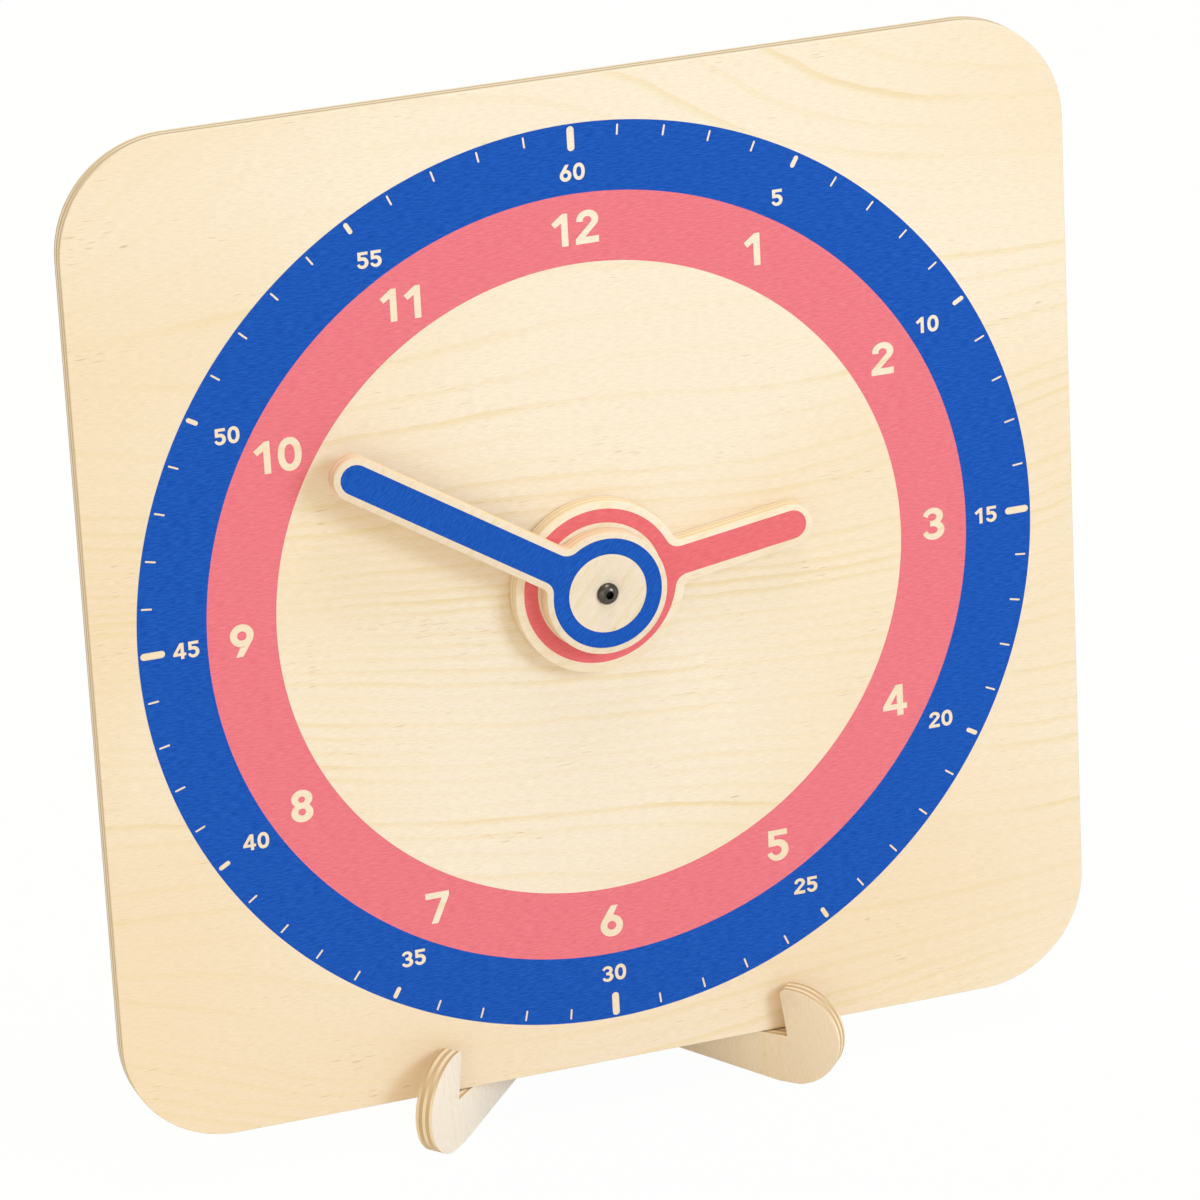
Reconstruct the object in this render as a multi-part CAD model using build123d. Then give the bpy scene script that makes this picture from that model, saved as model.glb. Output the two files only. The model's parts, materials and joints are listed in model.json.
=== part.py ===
from build123d import *
import os
from math import acos, cos, pi, radians, sin, sqrt, tan

# Geared teaching clock. A square plywood dial board leans in a stand of two crossed plywood
# halves. The minute hand turns the hour hand at a twelfth of its speed through a train of
# plywood gears on the back of the board. All sizes are in millimetres.
#
# Row frame: +X right, +Z up, the dial faces -Y, the table is Z = 0.
# Dial frame: X right, Y up along the board, Z out of the dial, origin on the board's front face
# at the point that the hands turn about.

# ---- sheet and board ------------------------------------------------------------------------
sheet = 6.5               # thickness of the birch plywood that everything flat is cut from
board_size = 350.0        # side of the square dial board
board_corner = 38.0       # radius of its corners
board_lean = 5.0          # degrees that the board leans back
face_ease = 0.3           # sanded edge round the board's two faces

# ---- hands ----------------------------------------------------------------------------------
hand_arm_width = 15.0
hand_fillet = 2.7         # inside corners where an arm meets its hub
minute_hub_radius = 21.3
minute_reach = 100.6      # centre of the clock to the centre of the rounded tip
minute_angle = 302.3      # degrees clockwise from 12
hour_hub_radius = 30.1
hour_reach = 70.1
hour_angle = 81.6

# ---- clearances -----------------------------------------------------------------------------
run_gap = 0.35            # face to face, between flat pieces that turn past each other
end_float = 0.05          # along the axis, at a bearing face
shaft_fit = 0.05          # on the radius, a shaft in its bearing
glue_fit = 0.02           # on the radius, a piece glued or pressed into another
gear_backlash = 0.4       # at the pitch line, for a pair of gears

# ---- gear train -----------------------------------------------------------------------------
gear_module = 2.0
pressure_angle = 25.0
tooth_addendum = 0.9      # in modules
tooth_dedendum = 1.2
tooth_form = 0.95         # depth of the involute below the pitch circle, in modules
hour_wheel_teeth = 48
intermediate_pinion_teeth = 12
intermediate_wheel_teeth = 45
minute_pinion_teeth = 15

# ---- bearings and shafts --------------------------------------------------------------------
tube_diameter = 12.0      # hour tube, outside
arbor_diameter = 8.0      # minute arbor, runs inside the tube
arbor_flat = 3.0          # centre of the arbor to its driving flat
arbor_socket = 4.0        # depth of the blind socket in the minute hand
bush_diameter = 15.0
bush_flange_diameter = 20.0
bush_flange = 1.0
stud_diameter = 6.0
stud_head_diameter = 12.0
stud_nut_flats = 10.0
stud_nut_height = 5.0
nut_corner_chamfer = 0.5
stud_washer_diameter = 14.0
washer_thickness = 1.0
stud_end = 1.5            # thread that shows past the nut
intermediate_bush_diameter = 9.0
dowel_diameter = 3.0
dowel_circle = 7.0        # radius of the circle of dowels
dowel_count = 3

# ---- screws ---------------------------------------------------------------------------------
screw_diameter = 4.0      # button-head screws at the two ends of the arbor
screw_head_diameter = 7.5
screw_head_height = 2.2
screw_head_rim = 0.4      # straight edge under the head's dome
screw_dome_radius = 3.3
screw_crown_diameter = 3.5   # level top round the socket
screw_socket_flats = 2.5
screw_socket_depth = 1.3
screw_length = 10.0
pinion_washer_diameter = 12.0
wood_screw_diameter = 3.5
wood_screw_head_diameter = 7.0
wood_screw_length = 11.0
wood_screw_tip_diameter = 0.6
wood_screw_recess = 1.0   # width of the cross recess
wood_screw_recess_span = 3.9
wood_screw_inset = 10.0   # from the edges of the gear plate
plate_width = 120.0
plate_overhang = 60.0     # gear plate past the two axes, above and below
plate_corner = 15.0

# ---- stand ----------------------------------------------------------------------------------
stand_spread = 96.0       # degrees between the two halves, seen from above
stand_track = 58.7        # middle of the board to each half, along the board's lower edge
seat_height = 18.1        # floor of the notch
notch_slack = 1.1         # front of the notch floor to the board
hook_clearance = 0.3      # tip of the hook to the board
back_clearance = 0.1      # back of the board to the uprights
hook_tip_round = 2.2
foot_radius = 18.3        # round front foot
foot_reach = 5.6          # its centre in front of the board, along the half
foot_flat = 7.6           # flat where each foot stands on the table
rear_foot_radius = 13.0
rear_foot_reach = 133.0
crossing_radius = 22.0    # round body where the two halves cross
crossing_underside = 13.8
upright_height = 106.0    # centre of the rounded top
upright_radius = 9.0
crotch_fillet = 24.0      # between the upright and the rear foot
lap_clearance = 0.15      # each side of the halving slot

# ---- values that follow ---------------------------------------------------------------------
lean = radians(board_lean)
half_spread = radians(stand_spread / 2)
centre_distance = gear_module * (hour_wheel_teeth + intermediate_pinion_teeth) / 2

hour_hand_back = run_gap
minute_hand_back = hour_hand_back + sheet + run_gap
minute_hand_front = minute_hand_back + sheet
plate_back = -2 * sheet
hour_wheel_back = plate_back - run_gap - sheet
minute_pinion_back = hour_wheel_back - run_gap - sheet
proud = run_gap - end_float                      # what a bearing stands out of a flat face

board_edge_z = seat_height + sheet * sin(lean)   # the board's front lower edge
foot_centre_z = sqrt(foot_radius**2 - (foot_flat / 2)**2)
rear_foot_centre_z = sqrt(rear_foot_radius**2 - (foot_flat / 2)**2)
face_offset = sheet / 2 * tan(half_spread)       # a half's face against its middle, at the board
front_y = -(foot_reach + foot_radius) * cos(half_spread) - sheet / 2 * sin(half_spread)
back_y = (rear_foot_reach + rear_foot_radius) * cos(half_spread) + sheet / 2 * sin(half_spread)
board_edge_y = -(front_y + back_y) / 2           # puts the middle of the whole clock at Y = 0

dial_plane = Plane(
    origin=(0,
            board_edge_y + board_size / 2 * sin(lean),
            board_edge_z + board_size / 2 * cos(lean)),
    x_dir=(1, 0, 0),
    z_dir=(0, -cos(lean), sin(lean)))


def disc(radius, back, front):
    """A round bar about the clock's axis between two levels of the dial frame."""
    return Pos(0, 0, back) * Cylinder(radius, front - back, align=(Align.CENTER, Align.CENTER, Align.MIN))


def sheet_piece(outline, back):
    """An outline cut from the plywood sheet, with its back face at the given level."""
    return Pos(0, 0, back) * extrude(outline, sheet)


# ---- board ----------------------------------------------------------------------------------
def make_board():
    board = sheet_piece(RectangleRounded(board_size, board_size, board_corner), -sheet)
    board = chamfer(board.faces().sort_by(Axis.Z)[-1].edges() + board.faces().sort_by(Axis.Z)[0].edges(),
                    face_ease)
    board -= disc(bush_diameter / 2 + glue_fit, -sheet, 0)
    board -= disc(bush_flange_diameter / 2 + glue_fit, proud - bush_flange, 0)
    for x, y in plate_screw_places():
        board -= Pos(x, y, 0) * disc(wood_screw_diameter / 2 + glue_fit, plate_back, plate_back + wood_screw_length)
    return board


# ---- hands ----------------------------------------------------------------------------------
def hand_outline(hub_radius, reach, clock_angle):
    """Round hub, straight arm with a round tip and filleted inside corners, at its clock angle."""
    arm = Pos(reach / 2, 0) * Rectangle(reach, hand_arm_width)
    outline = Circle(hub_radius) + arm + Pos(reach, 0) * Circle(hand_arm_width / 2)
    corners = outline.vertices().filter_by(lambda v: abs(sqrt(v.X**2 + v.Y**2) - hub_radius) < 0.01)
    return Rot(0, 0, 90 - clock_angle) * fillet(corners, hand_fillet)


def arbor_section(clearance):
    """Section of the arbor's driven ends: a circle with one flat, facing away from the minute arm."""
    radius = arbor_diameter / 2 + clearance
    cut = Pos(-arbor_flat - clearance - radius, 0) * Rectangle(2 * radius, 2 * radius)
    return Rot(0, 0, 90 - minute_angle) * (Circle(radius) - cut)


def make_hour_hand():
    outline = hand_outline(hour_hub_radius, hour_reach, hour_angle)
    return sheet_piece(outline - Circle(tube_diameter / 2 + glue_fit), hour_hand_back)


def make_minute_hand():
    hand = sheet_piece(hand_outline(minute_hub_radius, minute_reach, minute_angle), minute_hand_back)
    hand -= Pos(0, 0, minute_hand_back) * extrude(arbor_section(glue_fit), arbor_socket)
    hand -= disc(screw_diameter / 2 + shaft_fit, minute_hand_back, minute_hand_front)
    return hand


# ---- bearings, shafts and screws ------------------------------------------------------------
def make_front_bush():
    bush = disc(bush_diameter / 2, -sheet, proud) + disc(bush_flange_diameter / 2, proud - bush_flange, proud)
    return bush - disc(tube_diameter / 2 + shaft_fit, -sheet, proud)


def make_rear_bush():
    """The same bush turned round, in the gear plate, with its flange to the back."""
    return mirror(make_front_bush(), about=Plane.XY.offset(-sheet))


def make_hour_tube():
    front = hour_hand_back + sheet + proud
    back = hour_wheel_back - proud
    return disc(tube_diameter / 2, back, front) - disc(arbor_diameter / 2 + shaft_fit, back, front)


def make_minute_arbor():
    """Round where it runs in the tube, flatted in the minute hand and in the minute pinion."""
    pinion_front = minute_pinion_back + sheet
    arbor = disc(arbor_diameter / 2, pinion_front, minute_hand_back)
    arbor += Pos(0, 0, minute_hand_back) * extrude(arbor_section(0), arbor_socket - end_float)
    arbor += Pos(0, 0, minute_pinion_back + end_float) * extrude(arbor_section(0), sheet - end_float)
    thread = screw_diameter / 2 + glue_fit
    arbor -= disc(thread, minute_hand_front - screw_length, minute_hand_front)
    arbor -= disc(thread, minute_pinion_back, minute_pinion_back - washer_thickness + screw_length)
    return arbor


def button_screw(seat, outwards):
    """Button-head screw with a hex socket; its head sits on the level seat, facing +Z or -Z."""
    half, crown = screw_head_diameter / 2, screw_crown_diameter / 2
    dome = RadiusArc((half, screw_head_rim), (crown, screw_head_height), -screw_dome_radius)
    rim = Polyline((crown, screw_head_height), (0, screw_head_height), (0, 0), (half, 0), (half, screw_head_rim))
    head = revolve(Plane.XZ * make_face(dome + rim), Axis.Z)
    shank = disc(screw_diameter / 2, -screw_length, 0)
    socket = extrude(RegularPolygon(screw_socket_flats / 2, 6, major_radius=False), screw_socket_depth)
    screw = head + shank - Pos(0, 0, screw_head_height - screw_socket_depth) * socket
    return Pos(0, 0, seat) * (screw if outwards > 0 else Rot(180, 0, 0) * screw)


def washer(outer, inner, back):
    return disc(outer / 2, back, back + washer_thickness) - disc(inner / 2, back, back + washer_thickness)


def make_intermediate_stud():
    """Flat-head screw held between the board and the gear plate, its shank the axle at the back."""
    head_depth = (stud_head_diameter - stud_diameter) / 2
    end = intermediate_bush_back() - end_float - washer_thickness - stud_nut_height - stud_end
    head = Pos(0, 0, -sheet - head_depth / 2) * Cone(stud_diameter / 2, stud_head_diameter / 2, head_depth)
    return Pos(0, centre_distance) * (head + disc(stud_diameter / 2, end, -sheet))


def make_stud_washer():
    back = intermediate_bush_back() - end_float - washer_thickness
    return Pos(0, centre_distance) * washer(stud_washer_diameter, stud_diameter + 2 * glue_fit, back)


def make_stud_nut():
    front = intermediate_bush_back() - end_float - washer_thickness
    corner_radius = stud_nut_flats / sqrt(3)
    blank = Cylinder(corner_radius, stud_nut_height, align=(Align.CENTER, Align.CENTER, Align.MIN))
    blank = chamfer(blank.edges().filter_by(GeomType.CIRCLE), nut_corner_chamfer)
    hexagon = RegularPolygon(stud_nut_flats / 2, 6, major_radius=False) - Circle(stud_diameter / 2 + glue_fit)
    return Pos(0, centre_distance, front - stud_nut_height) * (blank & extrude(hexagon, stud_nut_height))


# ---- gear plate -----------------------------------------------------------------------------
def plate_screw_places():
    half_width = plate_width / 2 - wood_screw_inset
    low = wood_screw_inset - plate_overhang
    high = centre_distance - low
    return [(x, y) for x in (-half_width, half_width) for y in (low, high)]


def wood_screw():
    """Countersunk screw with a cross recess, head at the back of the gear plate."""
    radius, head = wood_screw_diameter / 2, wood_screw_head_diameter / 2
    tip = disc(radius, 0, wood_screw_length - 2 * radius)
    tip += Pos(0, 0, wood_screw_length - radius) * Cone(radius, wood_screw_tip_diameter / 2, 2 * radius)
    screw = tip + Pos(0, 0, (head - radius) / 2) * Cone(head, radius, head - radius)
    cross = Box(wood_screw_recess_span, wood_screw_recess, 2 * radius)
    cross += Rot(0, 0, 90) * cross
    return Pos(0, 0, plate_back) * (screw - cross)


def make_plate_screws():
    return Compound([Pos(x, y) * wood_screw() for x, y in plate_screw_places()])


def make_gear_plate():
    height = centre_distance + 2 * plate_overhang
    outline = Pos(0, centre_distance / 2) * RectangleRounded(plate_width, height, plate_corner)
    plate = sheet_piece(outline, plate_back)
    plate -= disc(bush_diameter / 2 + glue_fit, plate_back, -sheet)
    plate -= disc(bush_flange_diameter / 2 + glue_fit, plate_back, plate_back + bush_flange - proud)
    radius, head = stud_diameter / 2 + glue_fit, stud_head_diameter / 2 + glue_fit
    sink = Pos(0, 0, -sheet - (head - radius) / 2) * Cone(radius, head, head - radius)
    plate -= Pos(0, centre_distance) * (sink + disc(radius, plate_back, -sheet))
    radius, head = wood_screw_diameter / 2 + glue_fit, wood_screw_head_diameter / 2 + glue_fit
    sink = Pos(0, 0, plate_back + (head - radius) / 2) * Cone(head, radius, head - radius)
    for x, y in plate_screw_places():
        plate -= Pos(x, y) * (sink + disc(radius, plate_back, -sheet))
    return plate


# ---- gears ----------------------------------------------------------------------------------
def gear_outline(teeth, phase):
    """Involute gear with straight-sided gullets. One tooth is centred on the direction phase, in radians.

    Half a tooth's angle at radius r is a quarter pitch plus inv(pressure angle) minus
    inv(angle at r), where inv(a) = tan a - a and cos(angle at r) = base radius / r.
    """
    pitch_radius = gear_module * teeth / 2
    base_radius = pitch_radius * cos(radians(pressure_angle))
    tip_radius = pitch_radius + gear_module * tooth_addendum
    root_radius = pitch_radius - gear_module * tooth_dedendum
    form_radius = max(base_radius, pitch_radius - gear_module * tooth_form)
    quarter_pitch = pi / (2 * teeth) - gear_backlash / (4 * pitch_radius)

    def inv(angle):
        return tan(angle) - angle

    def half_tooth(radius):
        return quarter_pitch + inv(radians(pressure_angle)) - inv(acos(base_radius / radius))

    def at(radius, angle):
        return (radius * cos(angle), radius * sin(angle))

    edges = []
    middle_radius = (form_radius + tip_radius) / 2
    form_half = half_tooth(form_radius)
    for tooth in range(teeth):
        middle = phase + 2 * pi * tooth / teeth
        following = middle + 2 * pi / teeth
        radii = (form_radius, middle_radius, tip_radius)
        rising = [at(r, middle - half_tooth(r)) for r in radii]
        falling = [at(r, middle + half_tooth(r)) for r in reversed(radii)]
        edges += [ThreePointArc(*rising), Line(rising[-1], falling[0]), ThreePointArc(*falling),
                  Polyline(falling[-1], at(root_radius, middle + form_half),
                           at(root_radius, following - form_half), at(form_radius, following - form_half))]
    return make_face(edges)


def make_hour_wheel():
    outline = gear_outline(hour_wheel_teeth, pi / 2) - Circle(tube_diameter / 2 + glue_fit)
    return sheet_piece(outline, hour_wheel_back)


def make_minute_pinion():
    outline = gear_outline(minute_pinion_teeth, pi / 2) - arbor_section(glue_fit)
    return sheet_piece(outline, minute_pinion_back)


def dowel_places():
    """Round the intermediate axis, each behind a tooth of the pinion."""
    pitch = 2 * pi / intermediate_pinion_teeth
    step = pitch * (intermediate_pinion_teeth // dowel_count)
    first = -pi / 2 + pitch / 2
    return [Pos(dowel_circle * cos(first + step * i), dowel_circle * sin(first + step * i))
            for i in range(dowel_count)]


def intermediate_gear(teeth, back):
    """A gear of the intermediate pair, with a gap between two teeth facing the clock's centre."""
    outline = gear_outline(teeth, -pi / 2 + pi / teeth) - Circle(intermediate_bush_diameter / 2 + glue_fit)
    for place in dowel_places():
        outline -= place * Circle(dowel_diameter / 2 + glue_fit)
    return Pos(0, centre_distance) * sheet_piece(outline, back)


def make_intermediate_wheel():
    return intermediate_gear(intermediate_wheel_teeth, minute_pinion_back)


def make_intermediate_pinion():
    return intermediate_gear(intermediate_pinion_teeth, minute_pinion_back + sheet)


def intermediate_bush_back():
    return minute_pinion_back - proud


def make_intermediate_bush():
    back, front = intermediate_bush_back(), plate_back - end_float
    bush = disc(intermediate_bush_diameter / 2, back, front) - disc(stud_diameter / 2 + shaft_fit, back, front)
    return Pos(0, centre_distance) * bush


def make_wheel_dowels():
    dowel = disc(dowel_diameter / 2, minute_pinion_back, minute_pinion_back + 2 * sheet)
    return Pos(0, centre_distance) * Compound([place * dowel for place in dowel_places()])


# ---- stand ----------------------------------------------------------------------------------
def board_back_at(height):
    """How far behind the board's front lower edge its back face is at a height, along a half's face."""
    depth = (sheet + (height - board_edge_z) * sin(lean)) / cos(lean)
    return depth / cos(half_spread) + face_offset


def board_front_at(height):
    return (height - board_edge_z) * tan(lean) / cos(half_spread) - face_offset


def stand_profile():
    """Outline of one half: X runs back along the half from the board's lower edge, Y is up."""
    crossing = stand_track / sin(half_spread)
    slope = (board_back_at(upright_height) - board_back_at(0)) / upright_height
    upright_x = board_back_at(upright_height) + back_clearance + upright_radius * sqrt(1 + slope**2)
    foot = Pos(-foot_reach, foot_centre_z) * Circle(foot_radius)
    middle = Pos(crossing, crossing_underside + crossing_radius) * Circle(crossing_radius)
    upright = Pos(upright_x, upright_height) * Circle(upright_radius)
    rear_foot = Pos(rear_foot_reach, rear_foot_centre_z) * Circle(rear_foot_radius)

    above, beyond = 2 * upright_height, 2 * rear_foot_reach
    seat_front = -face_offset - notch_slack
    seat_back = board_back_at(seat_height) + back_clearance
    in_front_of_back = make_face(Polyline(
        (-beyond, seat_height), (seat_back, seat_height),
        (board_back_at(above) + back_clearance, above), (-beyond, above), close=True))
    hook_top = foot_centre_z + foot_radius
    hook_x = board_front_at(hook_top) - hook_clearance
    behind_hook = make_face(Polyline(
        (seat_front, seat_height), (beyond, seat_height), (beyond, above),
        (hook_x, above), (hook_x, hook_top), close=True))

    front = make_hull(foot.edges() + middle.edges() + upright.edges()) - in_front_of_back
    rear = make_hull(middle.edges() + rear_foot.edges())
    profile = front + rear + (foot - behind_hook)
    profile -= Pos(0, -above / 2) * Rectangle(2 * beyond, above)
    profile = fillet(profile.vertices().sort_by_distance((hook_x, hook_top))[0], hook_tip_round)
    crotch = profile.vertices().filter_by(
        lambda v: v.X > crossing and v.Y > crossing_underside + crossing_radius)
    return fillet(crotch, crotch_fillet)


def lap_slot():
    """Width of a halving slot, cut square to its face, that lets the other half through at its angle."""
    crossing_angle = 2 * half_spread
    return sheet / sin(crossing_angle) + sheet * abs(cos(crossing_angle)) / sin(crossing_angle) + 2 * lap_clearance


def stand_half(side):
    """One half, +1 right or -1 left. The right one is slotted from below, the left one from above."""
    crossing = stand_track / sin(half_spread)
    lap_level = crossing_underside + crossing_radius
    reach = 2 * upright_height
    slot_bottom = lap_level + lap_clearance - reach if side > 0 else lap_level - lap_clearance
    slot = Pos(crossing, slot_bottom + reach / 2) * Rectangle(lap_slot(), reach)
    plane = Plane(origin=(side * stand_track, board_edge_y, 0),
                  x_dir=(-side * sin(half_spread), cos(half_spread), 0),
                  z_dir=(cos(half_spread), side * sin(half_spread), 0))
    return extrude(plane * (stand_profile() - slot), sheet / 2, both=True)


# ---- the nodes ------------------------------------------------------------------------------
on_the_dial = {
    "dial_board": make_board(),
    "gear_plate": make_gear_plate(),
    "plate_screws": make_plate_screws(),
    "front_bush": make_front_bush(),
    "rear_bush": make_rear_bush(),
    "hour_tube": make_hour_tube(),
    "hour_hand": make_hour_hand(),
    "hour_wheel": make_hour_wheel(),
    "minute_arbor": make_minute_arbor(),
    "minute_hand": make_minute_hand(),
    "hand_screw": button_screw(minute_hand_front, 1),
    "minute_pinion": make_minute_pinion(),
    "pinion_washer": washer(pinion_washer_diameter, screw_diameter + 2 * shaft_fit,
                            minute_pinion_back - washer_thickness),
    "pinion_screw": button_screw(minute_pinion_back - washer_thickness, -1),
    "intermediate_stud": make_intermediate_stud(),
    "intermediate_bush": make_intermediate_bush(),
    "intermediate_pinion": make_intermediate_pinion(),
    "intermediate_wheel": make_intermediate_wheel(),
    "wheel_dowels": make_wheel_dowels(),
    "stud_washer": make_stud_washer(),
    "stud_nut": make_stud_nut(),
}
nodes = {name: piece.moved(dial_plane.location) for name, piece in on_the_dial.items()}
nodes["stand_left"] = stand_half(-1)
nodes["stand_right"] = stand_half(1)

os.makedirs("parts", exist_ok=True)
for name, piece in nodes.items():
    export_step(piece, f"parts/{name}.step")
    box = piece.bounding_box()
    print(f"{name:20s} {box.size.X:7.1f} {box.size.Y:7.1f} {box.size.Z:7.1f}  volume {piece.volume / 1000:8.2f} cm3")
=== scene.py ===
# %% [markdown]
# # Looks of a geared teaching clock
#
# The solids of the clock come packed from its construction: a plywood dial board, two hands,
# a train of plywood gears behind them and a stand of two crossed halves. This script gives
# those solids their finish, adds the print that lies on the wood, and sets up a small studio.
# Lengths are in metres. X is right, Z is up, and the dial faces -Y.

# %% Load the solids
import json

import bmesh
import bpy
import numpy as np
from mathutils import Matrix, Vector


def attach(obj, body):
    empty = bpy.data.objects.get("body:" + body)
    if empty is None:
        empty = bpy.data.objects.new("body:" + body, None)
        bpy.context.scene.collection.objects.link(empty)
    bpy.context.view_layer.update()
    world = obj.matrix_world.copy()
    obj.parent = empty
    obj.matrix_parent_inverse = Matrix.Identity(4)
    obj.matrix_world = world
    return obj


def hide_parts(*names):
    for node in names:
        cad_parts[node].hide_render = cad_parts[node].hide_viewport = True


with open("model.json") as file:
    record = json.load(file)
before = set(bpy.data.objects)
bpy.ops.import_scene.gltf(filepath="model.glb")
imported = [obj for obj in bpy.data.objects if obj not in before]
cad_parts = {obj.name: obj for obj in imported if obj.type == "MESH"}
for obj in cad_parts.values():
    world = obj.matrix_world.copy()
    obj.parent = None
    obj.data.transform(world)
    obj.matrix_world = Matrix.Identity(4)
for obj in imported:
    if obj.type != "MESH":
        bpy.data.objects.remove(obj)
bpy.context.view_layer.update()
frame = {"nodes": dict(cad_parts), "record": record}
nodes = frame["nodes"]

# %% [markdown]
# ## The dial frame
#
# Everything on the board is flat work, so it is easiest to draw it flat: X to the right, Y up
# along the board and Z out of the dial. The two hands turn about the origin. The board leans
# back a few degrees, and the axis of the minute hand's joint says exactly how much.

# %% The dial frame
MM = 0.001
SHEET = 6.5 * MM

joints = frame["record"]["behaviour"]["joints"]
minute_joint = next(joint for joint in joints if joint["name"] == "minute_turn")
dial_normal = Vector(minute_joint["axis"]).normalized()
dial_right = Vector((1, 0, 0))
dial_up = dial_normal.cross(dial_right)
dial_centre = Vector(minute_joint["pos_m"])


def placed(origin, right, out):
    """Matrix that takes flat coordinates into the scene: right is X, out is Z, and Y follows."""
    turned = Matrix((right, out.cross(right), out)).transposed().to_4x4()
    return Matrix.Translation(origin) @ turned


dial_frame = placed(dial_centre, dial_right, dial_normal)
print("the dial leans back", round(np.degrees(np.arcsin(dial_normal.z)), 2), "degrees")

# %% [markdown]
# ## Nodes in fewer words
#
# A procedural material is a network of small operations. One helper adds a node and fills its
# inputs: a socket is linked, and a plain value is set.

# %% Helpers for nodes
def srgb(red, green, blue):
    """A colour as a screen shows it, 0 to 255, turned into the linear values that shaders use."""
    value = np.array((red, green, blue)) / 255
    linear = np.where(value > 0.04045, ((value + 0.055) / 1.055) ** 2.4, value / 12.92)
    return (*linear.tolist(), 1.0)


def add(tree, kind, inputs=(), out=0, **settings):
    """Adds a node to the tree and returns one of its outputs."""
    made = tree.nodes.new(kind)
    for name, value in settings.items():
        setattr(made, name, value)
    pairs = inputs.items() if isinstance(inputs, dict) else enumerate(inputs)
    for key, value in pairs:
        if isinstance(value, bpy.types.NodeSocket):
            tree.links.new(value, made.inputs[key])
        elif value is not None:
            made.inputs[key].default_value = value
    return made.outputs[out]


def maths(tree, operation, *inputs):
    return add(tree, "ShaderNodeMath", inputs, operation=operation)


def between(tree, factor, low, high):
    """Mixes two colours by a factor."""
    return add(tree, "ShaderNodeMix", {0: factor, 6: low, 7: high}, out=2, data_type="RGBA")


def ramp(tree, value, low, high, to_low=0.0, to_high=1.0):
    """Maps a value from low..high to to_low..to_high with a soft start and end."""
    return add(tree, "ShaderNodeMapRange", (value, low, high, to_low, to_high),
               interpolation_type="SMOOTHSTEP")


def noise(tree, vector, stretch, detail=2.0, roughness=0.5, out=0):
    """Noise whose grains per metre along X, Y and Z are given by stretch."""
    scaled = add(tree, "ShaderNodeVectorMath", (vector, stretch), operation="MULTIPLY")
    return add(tree, "ShaderNodeTexNoise",
               {"Vector": scaled, "Scale": 1.0, "Detail": detail, "Roughness": roughness}, out=out)


def new_group(name, inputs, outputs):
    """An empty shader group with named sockets. Returns it with its input and output nodes."""
    group = bpy.data.node_groups.new(name, "ShaderNodeTree")
    for socket, kind in inputs:
        group.interface.new_socket(socket, in_out="INPUT", socket_type=kind)
    for socket, kind in outputs:
        group.interface.new_socket(socket, in_out="OUTPUT", socket_type=kind)
    return group, group.nodes.new("NodeGroupInput"), group.nodes.new("NodeGroupOutput")


FLOAT, COLOUR, VECTOR = "NodeSocketFloat", "NodeSocketColor", "NodeSocketVector"
print("helpers ready")

# %% [markdown]
# ## Birch veneer
#
# The outside ply of birch plywood is peeled off the log like paper off a roll. The knife
# crosses the growth rings at a slant, so each ring comes out as a long thin amber line, and
# where the knife runs nearly level with the rings the lines spread into wide arches. A map
# with contour lines does the same, so the group makes a height out of the distance across
# the grain and a broad noise, and draws a line wherever it passes a whole number: slowly
# darker towards the line and quickly pale after it. The steepness of the map turns a
# difference of height into a distance, which keeps a line narrow where the lines lie far
# apart. Over that lie short fibres and a few brown flecks, and the wood is broadly paler in
# one place and more golden in another. A picture of real veneer could be laid on instead, but
# it would repeat, while this can be moved, turned and made plainer for each piece. The group
# takes coordinates with X along the grain, and the place in the veneer that a piece is cut from.

# %% The veneer group
VENEER_PALE = srgb(250, 236, 222)
VENEER_GOLD = srgb(246, 224, 198)
VENEER_AMBER = srgb(238, 215, 167)
VENEER_SHADE = srgb(224, 205, 174)
VENEER_FLECK = srgb(186, 136, 76)
RINGS_ACROSS = 150.0          # growth lines per metre across the grain
RING_WANDER = 33.0            # how many of them the broad noise moves the map by
LATE_WIDTH, EARLY_WIDTH = 1.9, 0.65   # mm of a growth line before and after its darkest place
FIBRE_STRENGTH, FLECK_STRENGTH = 0.38, 0.5
GOLD_SHIFT = (-5.56, 5.92, 0)         # where the golden noise is read, away from the other noise

veneer, given, result = new_group(
    "birch veneer",
    [("Vector", VECTOR), ("Place", VECTOR), ("Figure", FLOAT), ("Gold", FLOAT), ("Tint", VECTOR)],
    [("Color", COLOUR), ("Streaks", FLOAT), ("Height", FLOAT)])

spot = add(veneer, "ShaderNodeVectorMath", (given.outputs["Vector"], given.outputs["Place"]), operation="ADD")
wobble = noise(veneer, spot, (32, 90, 0), detail=3.0, roughness=0.6)
sideways = add(veneer, "ShaderNodeCombineXYZ", (0.0, maths(veneer, "MULTIPLY", wobble, 4.0 * MM), 0.0))
bent = add(veneer, "ShaderNodeVectorMath", (spot, sideways), operation="ADD")


def contour_at(place):
    """Height of the map: the distance across the grain plus a broad noise, counted in rings."""
    across = veneer.nodes.new("ShaderNodeSeparateXYZ")
    veneer.links.new(place, across.inputs[0])
    broad = noise(veneer, place, (2.6, 6.0, 0), detail=0.5)
    wander = maths(veneer, "MULTIPLY", broad, RING_WANDER)
    return maths(veneer, "MULTIPLY_ADD", across.outputs["Y"], RINGS_ACROSS, wander)


def rise(step):
    """How much the map rises over a small step."""
    moved = add(veneer, "ShaderNodeVectorMath", (bent, step), operation="ADD")
    return maths(veneer, "SUBTRACT", contour_at(moved), contour)


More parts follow.
